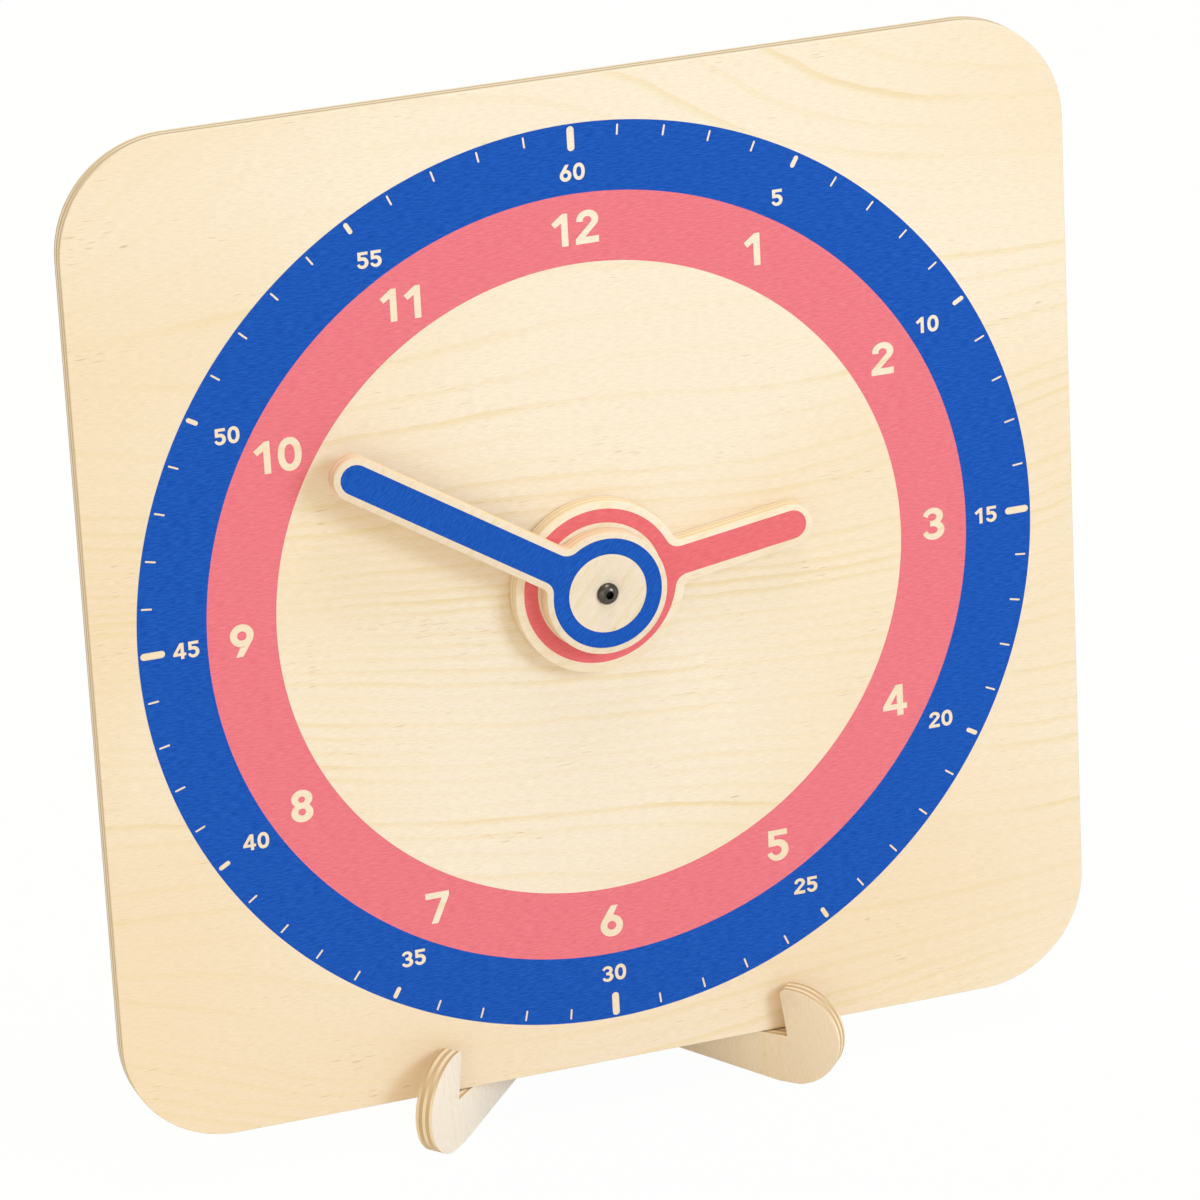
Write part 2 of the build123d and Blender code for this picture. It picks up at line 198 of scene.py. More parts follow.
contour = contour_at(bent)
gradient = add(veneer, "ShaderNodeCombineXYZ", (rise((MM, 0, 0)), rise((0, MM, 0)), 0.0))
steepness = add(veneer, "ShaderNodeVectorMath", (gradient,), out=1, operation="LENGTH")
phase = maths(veneer, "FRACT", contour)
late_width = maths(veneer, "MULTIPLY_ADD", steepness, LATE_WIDTH, 0.1)
early_width = maths(veneer, "MULTIPLY_ADD", steepness, EARLY_WIDTH, 0.01)
late = maths(veneer, "DIVIDE", maths(veneer, "SUBTRACT", 1.0, phase), late_width)
early = maths(veneer, "DIVIDE", phase, early_width)
before, after = (ramp(veneer, side, 0.0, 1.0, 1.0, 0.0) for side in (late, early))
line = maths(veneer, "MAXIMUM", before, after)
own = add(veneer, "ShaderNodeTexWhiteNoise", {"W": maths(veneer, "ROUND", contour)}, noise_dimensions="1D")
patches = noise(veneer, spot, (9, 22, 0), detail=2.0)
strength = maths(veneer, "MULTIPLY", given.outputs["Figure"], ramp(veneer, patches, 0.38, 0.6, 0.3, 1.0))
own_strength = maths(veneer, "MULTIPLY_ADD", own, 0.85, 0.15)
rings = maths(veneer, "MULTIPLY", line, maths(veneer, "MULTIPLY", strength, own_strength))

fibres = noise(veneer, spot, (300, 2300, 300), detail=2.0, roughness=0.65)
thread = ramp(veneer, fibres, 0.3, 0.72)

fleck_field = noise(veneer, spot, (170, 1900, 900), detail=0.0)
fleck_places = ramp(veneer, noise(veneer, spot, (30, 60, 40), detail=3.0), 0.5, 0.72)
flecks = maths(veneer, "MULTIPLY", ramp(veneer, fleck_field, 0.71, 0.81), fleck_places)

elsewhere = add(veneer, "ShaderNodeVectorMath", (spot, GOLD_SHIFT), operation="ADD")
golden = ramp(veneer, noise(veneer, elsewhere, (4, 7, 0), detail=1.0), 0.33, 0.64)
golden = add(veneer, "ShaderNodeMath", (golden, given.outputs["Gold"]), operation="ADD", use_clamp=True)
ground = between(veneer, golden, VENEER_PALE, VENEER_GOLD)
grown = between(veneer, rings, ground, VENEER_AMBER)
fibrous = between(veneer, maths(veneer, "MULTIPLY", thread, FIBRE_STRENGTH), grown, VENEER_SHADE)
flecked = between(veneer, maths(veneer, "MULTIPLY", flecks, FLECK_STRENGTH), fibrous, VENEER_FLECK)
tinted = add(veneer, "ShaderNodeVectorMath", (flecked, given.outputs["Tint"]), operation="MULTIPLY")
veneer.links.new(tinted, result.inputs["Color"])
veneer.links.new(thread, result.inputs["Streaks"])
veneer.links.new(maths(veneer, "MULTIPLY_ADD", flecks, -0.3, maths(veneer, "MULTIPLY", fibres, -0.6)),
                 result.inputs["Height"])
print("veneer group:", len(veneer.nodes), "nodes")

# %% [markdown]
# ## The edge of the plywood
#
# Five plies of equal thickness lie crosswise on each other. On an edge, a ply whose grain runs
# along the edge shows its pale side, and a ply whose grain points out of the edge shows darker
# end grain, so the stripes change round a corner. Five thin boards could be stacked up
# instead, but a rule works on every outline: the group finds the ply from the depth in the
# sheet, and its grain's angle to the edge from the normal. Thin glue lines part the plies.

# %% The edge group
PLIES = 5
PLY_SIDE = srgb(248, 232, 204)
PLY_END = srgb(206, 174, 134)
GLUE = srgb(172, 136, 100)

edge, given, result = new_group(
    "plywood edge",
    [("Vector", VECTOR), ("Normal", VECTOR), ("Seed", FLOAT), ("Contrast", FLOAT), ("Tint", VECTOR)],
    [("Color", COLOUR), ("Height", FLOAT)])

place = edge.nodes.new("ShaderNodeSeparateXYZ")
edge.links.new(given.outputs["Vector"], place.inputs[0])
facing = edge.nodes.new("ShaderNodeSeparateXYZ")
edge.links.new(given.outputs["Normal"], facing.inputs[0])

depth = maths(edge, "MULTIPLY", place.outputs["Z"], PLIES / SHEET)
ply = maths(edge, "FLOOR", depth)
crosswise = maths(edge, "MODULO", ply, 2.0)
along_x = maths(edge, "ABSOLUTE", facing.outputs["X"])
along_y = maths(edge, "ABSOLUTE", facing.outputs["Y"])
end_grain = add(edge, "ShaderNodeMix", {0: crosswise, 2: along_x, 3: along_y})
in_ply = maths(edge, "SUBTRACT", maths(edge, "FRACT", depth), 0.5)
glue_line = ramp(edge, maths(edge, "ABSOLUTE", in_ply), 0.44, 0.5)

own_seed = maths(edge, "ADD", ply, given.outputs["Seed"])
own_tone = add(edge, "ShaderNodeTexWhiteNoise", {"W": own_seed}, noise_dimensions="1D")
streaks = noise(edge, given.outputs["Vector"], (260, 260, 5200), detail=3.0, roughness=0.6)
mixed = maths(edge, "ADD", ramp(edge, end_grain, 0.25, 0.95, 0.05, 0.9),
              maths(edge, "MULTIPLY_ADD", streaks, 0.5, maths(edge, "MULTIPLY", own_tone, 0.2)))
darker = maths(edge, "MULTIPLY", maths(edge, "SUBTRACT", mixed, 0.3), given.outputs["Contrast"])
wood = between(edge, darker, PLY_SIDE, PLY_END)
glued = between(edge, maths(edge, "MULTIPLY", glue_line, 0.6), wood, GLUE)
tinted = add(edge, "ShaderNodeVectorMath", (glued, given.outputs["Tint"]), operation="MULTIPLY")
edge.links.new(tinted, result.inputs["Color"])
edge.links.new(maths(edge, "MULTIPLY_ADD", glue_line, -0.8, maths(edge, "MULTIPLY", streaks, 0.7)),
               result.inputs["Height"])
print("edge group:", len(edge.nodes), "nodes")

# %% [markdown]
# ## Plywood as a material
#
# Every flat piece is cut from such a sheet but lies its own way. One material for all of them
# would run the grain through the whole clock in one direction, so each piece gets its own: a
# Mapping node turns the piece's coordinates until X runs along the face grain and Z goes
# through the sheet, from 0 at the back to its thickness at the front. Close to either face the
# veneer shows, and between them the edge does.

# %% Plywood materials
FACE_SKIN = 0.25 * MM
UNTINTED = (1.0, 1.0, 1.0)
WOOD_RELIEF = (0.35, 0.08 * MM)   # strength and depth of the grain that is felt


def new_material(name):
    """An empty node material with its shader and output."""
    made = bpy.data.materials.new(name)
    made.use_nodes = True
    made.node_tree.nodes.clear()
    shader = made.node_tree.nodes.new("ShaderNodeBsdfPrincipled")
    output = made.node_tree.nodes.new("ShaderNodeOutputMaterial")
    made.node_tree.links.new(shader.outputs[0], output.inputs[0])
    return made, made.node_tree, shader


def sheet_coordinates(tree, sheet_frame):
    """Position and normal of a point in the flat coordinates of its sheet."""
    back = sheet_frame.inverted()
    turn, move = back.to_euler(), back.to_translation()
    texture = tree.nodes.new("ShaderNodeTexCoord")
    position = add(tree, "ShaderNodeMapping",
                   {"Vector": texture.outputs["Object"], "Location": move, "Rotation": turn})
    normal = add(tree, "ShaderNodeMapping",
                 {"Vector": texture.outputs["Normal"], "Rotation": turn}, vector_type="VECTOR")
    return position, normal


def use_group(tree, group, **inputs):
    """Places a group in a tree with its own values and returns the node."""
    made = tree.nodes.new("ShaderNodeGroup")
    made.node_tree = group
    for name, value in inputs.items():
        if isinstance(value, bpy.types.NodeSocket):
            tree.links.new(value, made.inputs[name])
        else:
            made.inputs[name].default_value = value
    return made


def bump(tree, shader, height, strength, distance):
    """Feeds a height to the shader's normal."""
    normal = add(tree, "ShaderNodeBump", {"Strength": strength, "Distance": distance, "Height": height})
    tree.links.new(normal, shader.inputs["Normal"])


def plywood(name, sheet_frame, place, figure=1.0, contrast=1.0, gold=0.0, tint=UNTINTED, edge_tint=UNTINTED):
    """Varnished birch plywood in the given frame, cut from a place in the veneer.

    Figure sets the growth lines, contrast the plies, gold how warm the wood is, and the tints
    multiply the colours of the face and of the edge.
    """
    made, tree, shader = new_material(name)
    position, normal = sheet_coordinates(tree, sheet_frame)
    face = use_group(tree, veneer, Vector=position, Place=place, Figure=figure, Gold=gold, Tint=tint)
    side = use_group(tree, edge, Vector=position, Normal=normal, Seed=place[2], Contrast=contrast,
                     Tint=edge_tint)
    parts = tree.nodes.new("ShaderNodeSeparateXYZ")
    tree.links.new(position, parts.inputs[0])
    from_middle = maths(tree, "ABSOLUTE", maths(tree, "SUBTRACT", parts.outputs["Z"], SHEET / 2))
    on_face = ramp(tree, from_middle, SHEET / 2 - FACE_SKIN, SHEET / 2 - FACE_SKIN / 2)
    tree.links.new(between(tree, on_face, side.outputs["Color"], face.outputs["Color"]),
                   shader.inputs["Base Color"])
    height = add(tree, "ShaderNodeMix", {0: on_face, 2: side.outputs["Height"], 3: face.outputs["Height"]})
    rough = ramp(tree, on_face, 0.0, 1.0, 0.72, 0.5)
    tree.links.new(rough, shader.inputs["Roughness"])
    shader.inputs["Specular IOR Level"].default_value = 0.3
    bump(tree, shader, height, *WOOD_RELIEF)
    return made


def flat_on_dial(level, grain_angle=0.0):
    """Frame of a sheet parallel to the dial, with its back at a level and its grain turned."""
    return dial_frame @ Matrix.Translation((0, 0, level)) @ Matrix.Rotation(grain_angle, 4, "Z")


RUN_GAP = 0.35 * MM
HOUR_HAND_LEVEL = RUN_GAP
MINUTE_HAND_LEVEL = HOUR_HAND_LEVEL + SHEET + RUN_GAP
PLATE_LEVEL = -2 * SHEET
HOUR_WHEEL_LEVEL = PLATE_LEVEL - RUN_GAP - SHEET
MINUTE_PINION_LEVEL = HOUR_WHEEL_LEVEL - RUN_GAP - SHEET
MINUTE_ARM = np.radians(90 - 302.3)
HOUR_ARM = np.radians(90 - 81.6)

sheets = {
    "dial_board": flat_on_dial(-SHEET),
    "hour_hand": flat_on_dial(HOUR_HAND_LEVEL, HOUR_ARM),
    "minute_hand": flat_on_dial(MINUTE_HAND_LEVEL, np.radians(45)),
    "gear_plate": flat_on_dial(PLATE_LEVEL, np.pi / 2),
    "hour_wheel": flat_on_dial(HOUR_WHEEL_LEVEL, 0.6),
    "intermediate_wheel": flat_on_dial(MINUTE_PINION_LEVEL, -0.5),
    "minute_pinion": flat_on_dial(MINUTE_PINION_LEVEL, 1.1),
    "intermediate_pinion": flat_on_dial(MINUTE_PINION_LEVEL + SHEET, 0.2),
}

BOARD_HALF = 175 * MM
SPREAD = np.radians(96 / 2)   # half of the angle between the stand's two halves
TRACK = 58.7 * MM             # from the middle to each half, under the board's lower edge
board_edge_y = dial_centre.y - BOARD_HALF * dial_normal.z
for name, side in (("stand_left", -1), ("stand_right", 1)):
    out = Vector((np.cos(SPREAD), side * np.sin(SPREAD), 0))
    middle = Vector((side * TRACK, board_edge_y, 0))
    sheets[name] = placed(middle - out * SHEET / 2, Vector((0, 0, 1)), out)

FIRST_PLACE, PLACE_STEP = 11.4, 1.7   # metres in the veneer, far enough apart to share no figure
cut_from = {name: (FIRST_PLACE + PLACE_STEP * number,) * 3 for number, name in enumerate(sheets)}
cut_from["dial_board"] = (18.915, 12.035, FIRST_PLACE)
finishes = {
    "dial_board": {"figure": 0.75, "edge_tint": (0.85, 0.92, 1.06)},
    "hour_hand": {"figure": 0.7, "contrast": 0.35},
    "minute_hand": {"figure": 0.6, "contrast": 0.35, "gold": -0.5, "tint": (0.925, 0.91, 0.9)},
    "stand_left": {"figure": 0.35, "gold": -1.0, "tint": (0.97, 1.0, 1.06)},
    "stand_right": {"figure": 0.35, "gold": -0.3},
}
for name, sheet_frame in sheets.items():
    material = plywood(f"birch plywood, {name}", sheet_frame, cut_from[name], **finishes.get(name, {}))
    nodes[name].data.materials.clear()
    nodes[name].data.materials.append(material)
print(len(sheets), "plywood pieces finished")

# %% [markdown]
# ## Eased edges
#
# A sawn plywood edge is broken with sandpaper before the piece is varnished. The hands, the
# stand and the gear plate are cut square in the construction. A Bevel modifier alone would
# round nothing, because the faces of a solid come parted at every sharp edge. So a copy of each
# is welded, its flat faces are joined up, and its sharp edges get a narrow rounding.

# %% Rounded copies
EASING = 0.3 * MM
SAME_POINT = 0.001 * MM


def eased(name, body):
    """A copy of a solid with its sharp edges rounded, which stands in for it and moves with it."""
    solid = bmesh.new()
    solid.from_mesh(nodes[name].data)
    bmesh.ops.remove_doubles(solid, verts=solid.verts, dist=SAME_POINT)
    bmesh.ops.dissolve_limit(solid, angle_limit=np.radians(0.3), verts=solid.verts, edges=solid.edges)
    sharp = [line for line in solid.edges if line.calc_face_angle(0.0) > np.radians(40)]
    bmesh.ops.bevel(solid, geom=sharp, offset=EASING, segments=2, profile=0.5, affect="EDGES",
                    clamp_overlap=True)
    bmesh.ops.triangulate(solid, faces=solid.faces)
    open_edges = sum(not line.is_manifold for line in solid.edges)
    mesh = bpy.data.meshes.new(f"{name}_eased")
    solid.to_mesh(mesh)
    solid.free()
    mesh.materials.append(nodes[name].data.materials[0])
    mesh.shade_smooth()
    mesh.set_sharp_from_angle(angle=np.radians(35))
    made = bpy.data.objects.new(mesh.name, mesh)
    bpy.context.scene.collection.objects.link(made)
    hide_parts(name)
    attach(made, body)
    print(name, len(sharp), "edges rounded,", len(mesh.polygons), "triangles,", open_edges, "open")


bodies = {"hour_hand": "hour_set", "minute_hand": "minute_set", "gear_plate": "board_and_stand",
          "stand_left": "board_and_stand", "stand_right": "board_and_stand"}
for name, body in bodies.items():
    eased(name, body)

# %% [markdown]
# ## Small parts
#
# The turned and bought-in parts are steel, brass, nylon and beech. Their shapes come right
# from the construction and only want a finish. Machined and moulded surfaces are never quite
# even, so one group gives them all a cloudy tone and fine marks, and each material decides how
# much of it shows.

# %% Metals, nylon and beech
marks, given, result = new_group(
    "handling marks", [("Vector", VECTOR), ("Scale", FLOAT)], [("Tone", FLOAT), ("Height", FLOAT)])
sized = add(marks, "ShaderNodeVectorMath", {0: given.outputs["Vector"], 3: given.outputs["Scale"]},
            operation="SCALE")
cloud = noise(marks, sized, (1, 1, 1), detail=4.0, roughness=0.6)
hairlines = noise(marks, sized, (1, 14, 14), detail=2.0)
marks.links.new(maths(marks, "MULTIPLY_ADD", cloud, 0.6, maths(marks, "MULTIPLY", hairlines, 0.4)),
                result.inputs["Tone"])
marks.links.new(hairlines, result.inputs["Height"])

# Painted shade: the hex socket of a screw head is coloured nearly black, as it would be in shadow.
SOCKET_PAINTED_SHADE = srgb(24, 23, 22)
MARKS_PER_METRE = 400.0
MARK_RELIEF = (0.3, 0.02 * MM)


def small_part(name, dark, pale, roughness, metallic, socket=0.0):
    """A finish between two colours and between two roughnesses, by the handling marks.

    Within the radius socket of the clock's axis the colour is painted nearly black, as shade in the deep hex
    socket of the screw head.
    """
    made, tree, shader = new_material(name)
    texture = tree.nodes.new("ShaderNodeTexCoord")
    worn = use_group(tree, marks, Vector=texture.outputs["Object"], Scale=MARKS_PER_METRE)
    tone = worn.outputs["Tone"]
    colour = between(tree, ramp(tree, tone, 0.3, 0.7), dark, pale)
    # painted shade: the screw's hex socket round the clock's axis is darkened in the colour
    if socket:
        position, _ = sheet_coordinates(tree, dial_frame)
        flat = add(tree, "ShaderNodeVectorMath", (position, (1, 1, 0)), operation="MULTIPLY")
        radius = add(tree, "ShaderNodeVectorMath", (flat,), out=1, operation="LENGTH")
        painted_socket_shade = ramp(tree, radius, 0.95 * socket, socket, 1.0, 0.0)
        colour = between(tree, painted_socket_shade, colour, SOCKET_PAINTED_SHADE)
    tree.links.new(colour, shader.inputs["Base Color"])
    tree.links.new(ramp(tree, tone, 0.3, 0.7, *roughness), shader.inputs["Roughness"])
    shader.inputs["Metallic"].default_value = metallic
    bump(tree, shader, worn.outputs["Height"], *MARK_RELIEF)
    return made


zinc = small_part("bright zinc on steel", srgb(176, 180, 186), srgb(206, 208, 212), (0.28, 0.42), 1.0)
brass = small_part("turned brass", srgb(190, 150, 80), srgb(222, 188, 118), (0.22, 0.38), 1.0)
black_oxide = small_part("black oxide on steel", srgb(56, 52, 47), srgb(104, 98, 90), (0.12, 0.22), 1.0,
                         socket=1.4 * MM)
nylon = small_part("natural nylon", srgb(222, 218, 204), srgb(238, 235, 224), (0.42, 0.5), 0.0)
beech = small_part("beech dowel", srgb(186, 140, 98), srgb(214, 172, 128), (0.55, 0.65), 0.0)

small_finishes = {
    zinc: ("minute_arbor", "intermediate_stud", "stud_washer", "stud_nut", "pinion_washer", "plate_screws"),
    black_oxide: ("hand_screw", "pinion_screw"),
    brass: ("hour_tube", "intermediate_bush"),
    nylon: ("front_bush", "rear_bush"),
    beech: ("wheel_dowels",),
}
for material, names in small_finishes.items():
    for name in names:
        nodes[name].data.materials.clear()
        nodes[name].data.materials.append(material)
print("small parts:", {material.name: len(names) for material, names in small_finishes.items()})

# %% [markdown]
# ## Drawing the numerals
#
# The print is two flat rings of ink with the numerals and the marks left open, so that bare
# wood shows in them. A typeface would be quicker, but Blender's own is too light for a
# classroom dial, and any other is one more file that the script would need. So a numeral is one
# outline, with a second or third for its holes, drawn in millimetres at the size of the hours,
# 11.25 high, out of corners and of arcs of ellipses, as a sign writer sets out bold figures.

# %% Numeral outlines
CAP_HEIGHT = 11.25
ARC_STEPS = 24


def corners(*points):
    return np.array(points, float)


def arc(x, y, half_width, half_height, start, end, square=2.0):
    """Points of an ellipse from one angle to another in degrees.

    Each point is the centre plus (half width * cos a, half height * sin a), with both raised
    to the power 2 / square, so that a square above 2 fills the ellipse out towards its box.
    """
    angle = np.radians(np.linspace(start, end, ARC_STEPS))
    across, up = np.cos(angle), np.sin(angle)
    across = np.sign(across) * np.abs(across) ** (2 / square)
    up = np.sign(up) * np.abs(up) ** (2 / square)
    return np.stack((x + half_width * across, y + half_height * up), axis=1)


def ring_loop(x, y, half_width, half_height, square=2.0):
    """A closed ellipse, without its repeated last point."""
    return arc(x, y, half_width, half_height, 0, 360, square)[:-1]


def path(*pieces):
    return np.concatenate(pieces)


def turned_over(loops, width):
    """The same outlines turned by half a circle, as a 9 is a 6."""
    return [np.array((width, CAP_HEIGHT)) - loop for loop in loops]


six = [path(corners((4.1, 11.25), (6.6, 11.25)), arc(4.1, 3.85, 4.1, 4.0, 80, -210)),
       ring_loop(4.1, 3.95, 1.65, 1.6)]
numerals = {
    "0": [ring_loop(4.1, 5.65, 4.1, 5.85, 2.2), ring_loop(4.05, 5.65, 1.75, 3.4, 2.2)],
    "1": [corners((3.4, 0), (5.7, 0), (5.7, 11.25), (3.9, 11.25), (0, 8.3), (1.2, 6.6), (3.4, 8.1))],
    "2": [path(corners((0, 0), (8.1, 0), (8.1, 2.3), (3.35, 2.3)),
               arc(4.35, 8.2, 3.85, 3.25, -40, 188),
               arc(4.25, 8.0, 1.5, 1.3, 200, -40), corners((0, 1.9)))],
    "3": [path(arc(4.1, 8.25, 3.7, 3.15, 168, -42), arc(4.2, 3.25, 4.0, 3.4, 50, -168),
               arc(3.8, 3.4, 1.9, 1.35, -178, 90), corners((3.0, 4.75), (3.0, 6.75)),
               arc(3.8, 8.05, 1.6, 1.3, -90, 185))],
    "4": [corners((5.2, 0), (7.5, 0), (7.5, 2.3), (8.9, 2.3), (8.9, 4.3), (7.5, 4.3),
                  (7.5, 11.25), (4.9, 11.25), (0, 3.9), (0, 2.3), (5.2, 2.3)),
          corners((2.9, 4.3), (5.2, 4.3), (5.2, 7.9))],
    "5": [path(corners((0.8, 11.25), (7.8, 11.25), (7.8, 9.15), (3.0, 9.15), (3.0, 7.6)),
               arc(4.1, 3.8, 4.0, 3.95, 98, -165), arc(3.7, 3.75, 1.85, 1.7, -170, 110),
               corners((0.8, 5.35)))],
    "6": six,
    "7": [corners((0, 11.25), (8.4, 11.25), (8.4, 9.6), (4.0, 0), (1.6, 0), (5.7, 9.05), (0, 9.05))],
    "8": [path(arc(4.0, 8.2, 3.7, 3.2, -46, 226), arc(3.9, 3.2, 3.9, 3.35, 132, 408)),
          ring_loop(3.9, 7.95, 1.2, 1.1), ring_loop(3.85, 3.5, 1.35, 1.25)],
    "9": turned_over(six, 8.2),
}
GAP_AFTER_ONE, GAP = 2.6, 1.2


def written(text, centre, height):
    """Outlines of a number, centred on a point and scaled to a height, in metres."""
    loops, pen = [], 0.0
    for index, figure in enumerate(text):
        shapes = numerals[figure]
        left = min(loop[:, 0].min() for loop in shapes)
        right = max(loop[:, 0].max() for loop in shapes)
        loops += [loop + (pen - left, 0) for loop in shapes]
        pen += right - left + (GAP_AFTER_ONE if figure == "1" else GAP)
    every = np.concatenate(loops)
    middle = (every.min(axis=0) + every.max(axis=0)) / 2
    middle[1] = CAP_HEIGHT / 2
    return [(loop - middle) * height / CAP_HEIGHT + centre for loop in loops]


print("numerals:", {figure: sum(map(len, loops)) for figure, loops in numerals.items()})

# %% [markdown]
# ## Rings, marks and stripes
#
# The other outlines are plain geometry: circles, marks with round ends, and on each hand a
# ring that runs into a stripe through two inside curves. The centre of such a curve lies one
# curve radius outside both the ring and the stripe, which gives its place by Pythagoras.

# %% Outlines of the print
def on_clock(radius, angle):
    """Point at a clock angle in degrees, clockwise from the top."""
    return radius * np.array((np.sin(np.radians(angle)), np.cos(np.radians(angle))))


def ring_points(radius, angle):
    return radius * np.stack((np.cos(angle), np.sin(angle)), axis=1)


def circle(radius, steps=360):
    return ring_points(radius, np.linspace(0, 2 * np.pi, steps, endpoint=False))


def mark(inner, outer, width, angle):
    """A stroke with round ends between two radii: two half circles joined by straight sides."""
    half = width / 2
    half_turn = np.linspace(0, np.pi, 9)
    upper = ring_points(half, half_turn) + (0, outer - half)
    lower = ring_points(half, half_turn + np.pi) + (0, inner + half)
    loop = np.concatenate((upper, lower))
    cos, sin = np.cos(np.radians(angle)), np.sin(np.radians(angle))
    return loop @ np.array(((cos, -sin), (sin, cos)))


def hand_stripe(ring, half_width, reach, curve, arm_angle):
    """Outer outline of a hand's print: most of a circle, two inside curves, a stripe, a round tip."""
    across = half_width + curve
    along = np.sqrt((ring + curve) ** 2 - across ** 2)
    at_ring = np.arctan2(across, along)
    hub = ring_points(ring, np.linspace(at_ring, 2 * np.pi - at_ring, 90))
    lower = (along, -across) + ring_points(curve, np.linspace(np.pi - at_ring, np.pi / 2, 12))
    tip = (reach, 0) + ring_points(half_width, np.linspace(-np.pi / 2, np.pi / 2, 24))
    upper = (along, across) + ring_points(curve, np.linspace(-np.pi / 2, at_ring - np.pi, 12))
    loop = np.concatenate((hub[:-1], lower, tip, upper[:-1]))
    cos, sin = np.cos(arm_angle), np.sin(arm_angle)
    return loop @ np.array(((cos, sin), (-sin, cos)))


DIAL_OUTER, DIAL_BETWEEN, DIAL_INNER = 159.2 * MM, 135.3 * MM, 111.35 * MM
HOURS_AT, HOURS_HIGH = 123.4 * MM, 11.25 * MM
MINUTES_AT, MINUTES_HIGH = 142.7 * MM, 5.65 * MM
hour_numbers = [loop for hour in range(1, 13)
                for loop in written(str(hour), on_clock(HOURS_AT, 30 * hour), HOURS_HIGH)]
minute_numbers = [loop for five in range(1, 13)
                  for loop in written(str(5 * five), on_clock(MINUTES_AT, 30 * five), MINUTES_HIGH)]


def minute_mark(minute):
    """Long at the quarters, middling at every fifth minute, short and thin between them."""
    if minute % 15 == 0:
        return mark(149.9 * MM, 158.4 * MM, 2.5 * MM, 6 * minute)
    if minute % 5 == 0:
        return mark(153.7 * MM, 158.1 * MM, 1.6 * MM, 6 * minute)
    return mark(154.0 * MM, 157.8 * MM, 0.65 * MM, 6 * minute)


blue_ring = [circle(DIAL_OUTER), circle(DIAL_BETWEEN)] + minute_numbers + [minute_mark(m) for m in range(60)]
coral_ring = [circle(DIAL_BETWEEN), circle(DIAL_INNER)] + hour_numbers
minute_stripe = [
    hand_stripe(ring=19.2 * MM, half_width=5.2 * MM, reach=100.65 * MM, curve=5 * MM, arm_angle=MINUTE_ARM),
    circle(13.7 * MM, 120)]
hour_stripe = [
    hand_stripe(ring=27.1 * MM, half_width=5.05 * MM, reach=70.1 * MM, curve=5 * MM, arm_angle=HOUR_ARM),
    circle(22.25 * MM, 120)]
print("blue ring has", len(blue_ring), "outlines, coral ring has", len(coral_ring))

# %% [markdown]
# ## Ink
#
# Ink sinks into the veneer, so the fibres still show through it as faint darker and lighter
# streaks, and the surface keeps the feel of the wood. It could be mixed into the wood's own
# material by a mask, but a film with its own outline stays crisp from any distance. The ink
# material therefore uses the veneer group of the piece it lies on, for its streaks and height.

# %% Ink materials
INK_FILM = 0.05 * MM


def ink(name, colour, worn_colour, sheet_frame, place):
    """Matt ink over veneer, with the wood's fibres showing through."""
    made, tree, shader = new_material(name)
    position, _ = sheet_coordinates(tree, sheet_frame)
    under = use_group(tree, veneer, Vector=position, Place=place)
    worn = under.outputs["Streaks"]
    tree.links.new(between(tree, worn, colour, worn_colour), shader.inputs["Base Color"])
    tree.links.new(ramp(tree, worn, 0.0, 1.0, 0.5, 0.6), shader.inputs["Roughness"])
    shader.inputs["Specular IOR Level"].default_value = 0.08
    bump(tree, shader, under.outputs["Height"], *WOOD_RELIEF)
    return made


def flat_print(name, loops, place, material, body):
    """A thin film with the given outlines, filled by the even-odd rule, at a place in the dial frame."""
    curve = bpy.data.curves.new(name, "CURVE")
    curve.dimensions, curve.fill_mode, curve.extrude = "2D", "BOTH", INK_FILM / 2
    for loop in loops:
        spline = curve.splines.new("POLY")
        spline.points.add(len(loop) - 1)
        spline.points.foreach_set("co", np.pad(loop, ((0, 0), (0, 2))).ravel())
        spline.use_cyclic_u = True
    drawn = bpy.data.objects.new(name, curve)
    bpy.context.scene.collection.objects.link(drawn)
    bpy.context.view_layer.update()
    mesh = bpy.data.meshes.new_from_object(drawn.evaluated_get(bpy.context.evaluated_depsgraph_get()))
    bpy.data.objects.remove(drawn)
    mesh.transform(dial_frame @ Matrix.Translation(place))
    solid = bmesh.new()
    solid.from_mesh(mesh)
    bmesh.ops.remove_doubles(solid, verts=solid.verts, dist=SAME_POINT)
    bmesh.ops.recalc_face_normals(solid, faces=solid.faces)
    solid.to_mesh(mesh)
    solid.free()
    mesh.name = name
    mesh.materials.clear()
    mesh.materials.append(material)
    made = bpy.data.objects.new(name, mesh)
    bpy.context.scene.collection.objects.link(made)
    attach(made, body)
    print(name, len(mesh.vertices), "vertices")


BLUE, BLUE_WORN = srgb(14, 75, 180), srgb(32, 95, 197)
CORAL, CORAL_WORN = srgb(229, 114, 130), srgb(240, 131, 145)
RED, RED_WORN = srgb(227, 105, 116), srgb(238, 121, 130)
prints = (
    ("blue_ring_print", blue_ring, (0, 0, 0), "dial_board", BLUE, BLUE_WORN, "board_and_stand"),
    ("coral_ring_print", coral_ring, (0, 0, 0), "dial_board", CORAL, CORAL_WORN, "board_and_stand"),
    ("minute_hand_print", minute_stripe, (0.1 * MM, 0.1 * MM, MINUTE_HAND_LEVEL + SHEET), "minute_hand",
     BLUE, BLUE_WORN, "minute_set"),
    ("hour_hand_print", hour_stripe, (0, 0.5 * MM, HOUR_HAND_LEVEL + SHEET), "hour_hand",
     RED, RED_WORN, "hour_set"),
)
for name, loops, place, under, colour, worn_colour, body in prints:
    material = ink(f"ink, {name}", colour, worn_colour, sheets[under], cut_from[under])
    flat_print(name, loops, place, material, body)

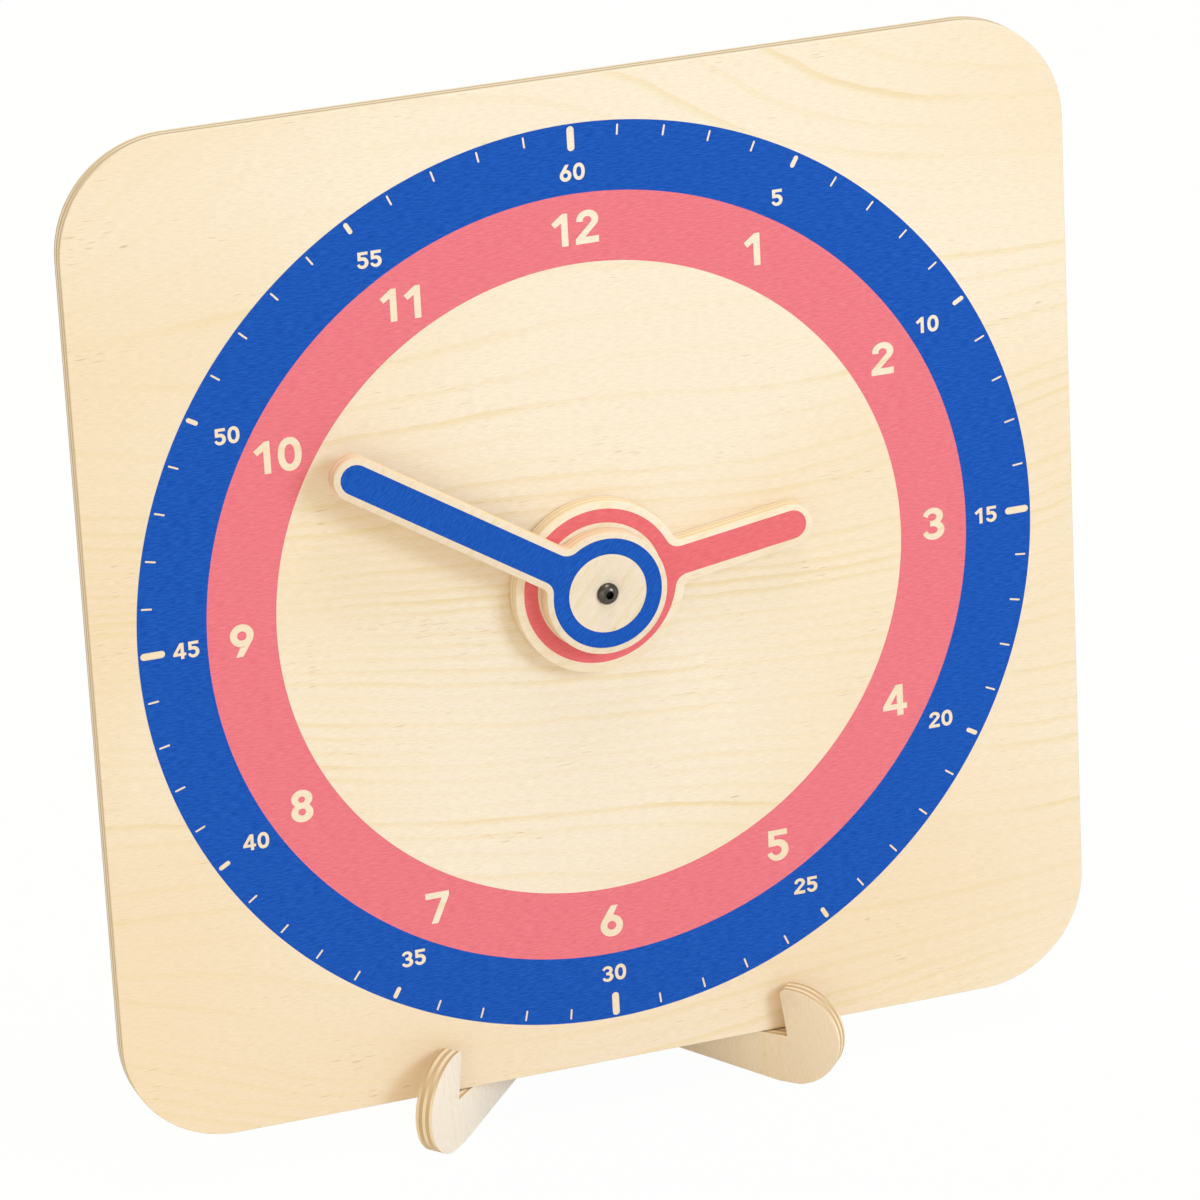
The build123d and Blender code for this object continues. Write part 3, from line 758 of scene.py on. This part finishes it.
# %% [markdown]
# ## The studio
#
# A pale floor that curves up behind as a backdrop, and four soft lamps: a large cool key from
# the upper right, a weak warm fill from the left, one above and one behind. The surround is
# warm, which makes the shadows golden. A floor that is lit until it turns white would wash the
# wood out too, so for the camera it is lifted nearly to white, and it keeps a trace of the
# clock's shadow.

# %% Floor, lamps and surround
def studio_floor():
    """A strip that runs flat, curves up behind and stands: a profile carried along X."""
    reach, behind, radius, height = 3.0, 2.0, 0.8, 3.2
    turn = np.linspace(0, np.pi / 2, 17)
    profile = np.concatenate((
        [(-reach, 0.0)],
        np.stack((behind + radius * np.sin(turn), radius * (1 - np.cos(turn))), axis=1),
        [(behind + radius, height)]))
    across = np.array((-4.0, 4.0))
    grid = np.zeros((len(profile), 2, 3))
    grid[..., 0] = across
    grid[..., 1:] = profile[:, None, :]
    first = 2 * np.arange(len(profile) - 1)[:, None]
    faces = first + np.array((0, 1, 3, 2))
    mesh = bpy.data.meshes.new("studio floor")
    mesh.from_pydata(grid.reshape(-1, 3).tolist(), [], faces.tolist())
    mesh.shade_smooth()
    made = bpy.data.objects.new("studio floor", mesh)
    bpy.context.scene.collection.objects.link(made)
    return made


def looked_at(tree):
    """1 for rays from the camera, out of a mirror or through glass, and 0 for all others."""
    rays = tree.nodes.new("ShaderNodeLightPath")
    clear = maths(tree, "MAXIMUM", rays.outputs["Is Glossy Ray"], rays.outputs["Is Transmission Ray"])
    return maths(tree, "MAXIMUM", rays.outputs["Is Camera Ray"], clear)


def lifted_white(tree, surface, lift):
    """Mixes a surface with plain white where it is looked at."""
    white = add(tree, "ShaderNodeEmission", {"Color": (1, 1, 1, 1), "Strength": 1.0})
    return add(tree, "ShaderNodeMixShader", (maths(tree, "MULTIPLY", looked_at(tree), lift), surface, white))


FLOOR_LIFT = 0.97

floor = studio_floor()
floor_material = bpy.data.materials.new("pale floor")
floor_material.use_nodes = True
tree = floor_material.node_tree
tree.nodes.clear()
matt = add(tree, "ShaderNodeBsdfDiffuse", {"Color": (0.9, 0.9, 0.9, 1)})
output = tree.nodes.new("ShaderNodeOutputMaterial")
tree.links.new(lifted_white(tree, matt, FLOOR_LIFT), output.inputs[0])
floor.data.materials.append(floor_material)

world = bpy.data.worlds.new("white surround")
bpy.context.scene.world = world
world.use_nodes = True
tree = world.node_tree
tree.nodes.clear()
soft = add(tree, "ShaderNodeBackground", {"Color": (1.0, 0.87, 0.56, 1), "Strength": 0.6})
plain = add(tree, "ShaderNodeBackground", {"Color": (1, 1, 1, 1), "Strength": 1.0})
shown = add(tree, "ShaderNodeMixShader", (looked_at(tree), soft, plain))
output = tree.nodes.new("ShaderNodeOutputWorld")
tree.links.new(shown, output.inputs[0])


def softbox(name, place, size, power, colour=(1, 1, 1)):
    """A square area lamp that looks at the middle of the dial."""
    lamp = bpy.data.lights.new(name, "AREA")
    lamp.energy, lamp.size, lamp.color = power, size, colour
    made = bpy.data.objects.new(name, lamp)
    bpy.context.scene.collection.objects.link(made)
    made.location = place
    made.rotation_euler = (dial_centre - Vector(place)).to_track_quat("-Z", "Y").to_euler()


softbox("key", (1.7, -2.36, 1.47), 1.25, 44, (0.64, 0.82, 1.0))
softbox("fill", (-1.9, -1.6, 0.9), 1.6, 5, (1.0, 0.87, 0.65))
softbox("top", (0.2, -0.3, 2.2), 0.9, 12, (1.0, 0.96, 0.9))
softbox("back", (-1.2, 2.0, 1.6), 1.0, 22)
bpy.context.scene.view_settings.view_transform = "Standard"
print("studio ready")

# %% [markdown]
# ## The camera
#
# A long lens from the front left and a little above keeps the square of the board nearly
# square. The three directions give the camera's matrix: right, up and backwards.

# %% The camera
CAMERA_PLACE = Vector((-0.67858, -1.932883, 1.113766))
CAMERA_AIM = Vector((0.30556, 0.856193, -0.416613))
CAMERA_RIGHT = Vector((0.938646, -0.344347, -0.019237))
FOCAL_LENGTH, SENSOR_WIDTH = 198.99, 36.0   # millimetres

lens = bpy.data.cameras.new("camera")
lens.lens, lens.sensor_width = FOCAL_LENGTH, SENSOR_WIDTH
lens.clip_start, lens.clip_end = 0.1, 20.0
camera = bpy.data.objects.new("camera", lens)
bpy.context.scene.collection.objects.link(camera)
camera.matrix_world = placed(CAMERA_PLACE, CAMERA_RIGHT, -CAMERA_AIM)
bpy.context.scene.camera = camera
print("camera at", tuple(round(value, 3) for value in camera.location))
